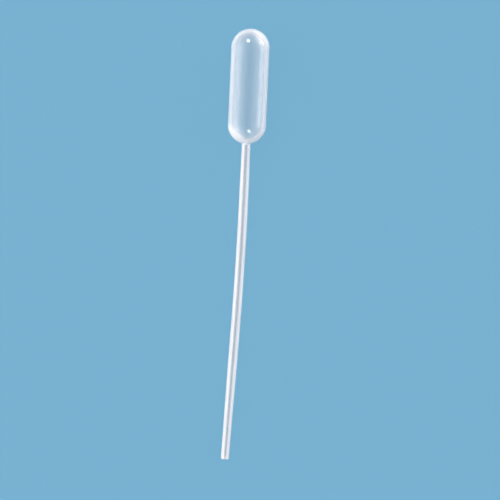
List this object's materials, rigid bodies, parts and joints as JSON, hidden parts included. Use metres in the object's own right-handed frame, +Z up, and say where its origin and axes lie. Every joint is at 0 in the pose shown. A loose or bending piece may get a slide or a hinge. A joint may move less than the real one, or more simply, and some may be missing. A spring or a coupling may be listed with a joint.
{
  "type": "transfer pipette",
  "caption": "One-piece dropper pipette of soft clear plastic: a long round-ended squeeze bulb on a slender, slightly bent stem that narrows to an open tip.",
  "frame": {"origin": "middle of the bottom of the bounding box, on the level surface that the pipette lies on", "axes": "+Z up; +Y along the pipette towards the closed end of the bulb, with the tip at -Y; +X across it, with the stem bending towards -X. The bulb's axis rises 2.58 degrees towards +Y, because the pipette rests on the round of the bulb by the neck and on its tip"},
  "size_m": [0.0132, 0.1498, 0.0145],
  "materials": {
    "clear_plastic": "soft see-through polyethylene, slightly milky, smooth and fairly glossy"
  },
  "bodies": {
    "root": {"pipette": "clear_plastic"}
  },
  "joints": []
}
